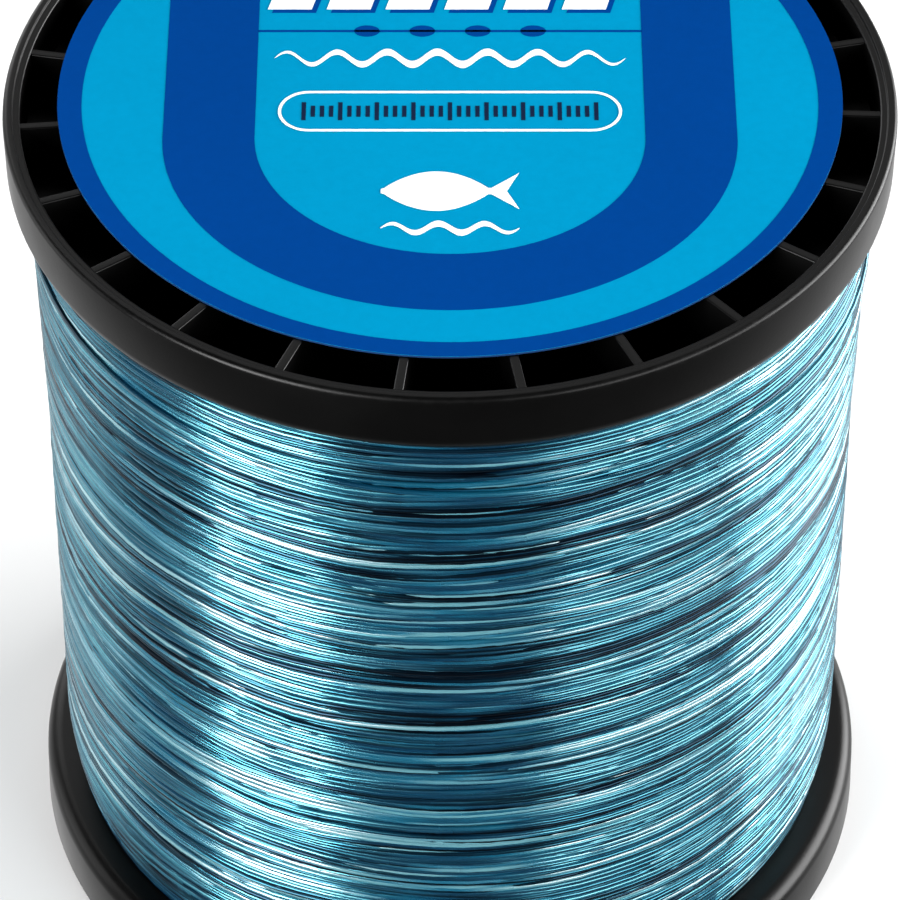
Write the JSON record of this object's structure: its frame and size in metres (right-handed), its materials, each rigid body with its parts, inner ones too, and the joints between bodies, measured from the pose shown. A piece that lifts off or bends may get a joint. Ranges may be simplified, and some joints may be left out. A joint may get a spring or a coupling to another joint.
{
  "type": "fishing line spool",
  "caption": "Bulk spool with two ribbed round flanges and a central arbor bore, wound full of monofilament fishing line, with a round label on each end.",
  "frame": {"origin": "centre of the circle that the lower flange's rim rests on", "axes": "+Z is the spool's axis, from the lower flange to the upper one; -Y is the front"},
  "size_m": [0.1, 0.1, 0.1074],
  "materials": {
    "moulded_black": "moulded, satin gloss",
    "barrel_plastic": "moulded, matte",
    "tube_plastic": "extruded, matte",
    "blue_line": "glossy monofilament",
    "label_print": "coated, printed",
    "label_print_lower": "coated, printed",
    "clear_tape": "clear film tape",
    "start_tape": "paper tape"
  },
  "bodies": {
    "root": {"upper_flange": "moulded_black", "lower_flange": "moulded_black", "barrel": "barrel_plastic", "arbor_tube": "tube_plastic", "line_winding": "blue_line", "upper_label": "label_print", "lower_label": "label_print_lower", "line_end_tape": "clear_tape", "line_start_tape": "start_tape"}
  },
  "joints": []
}
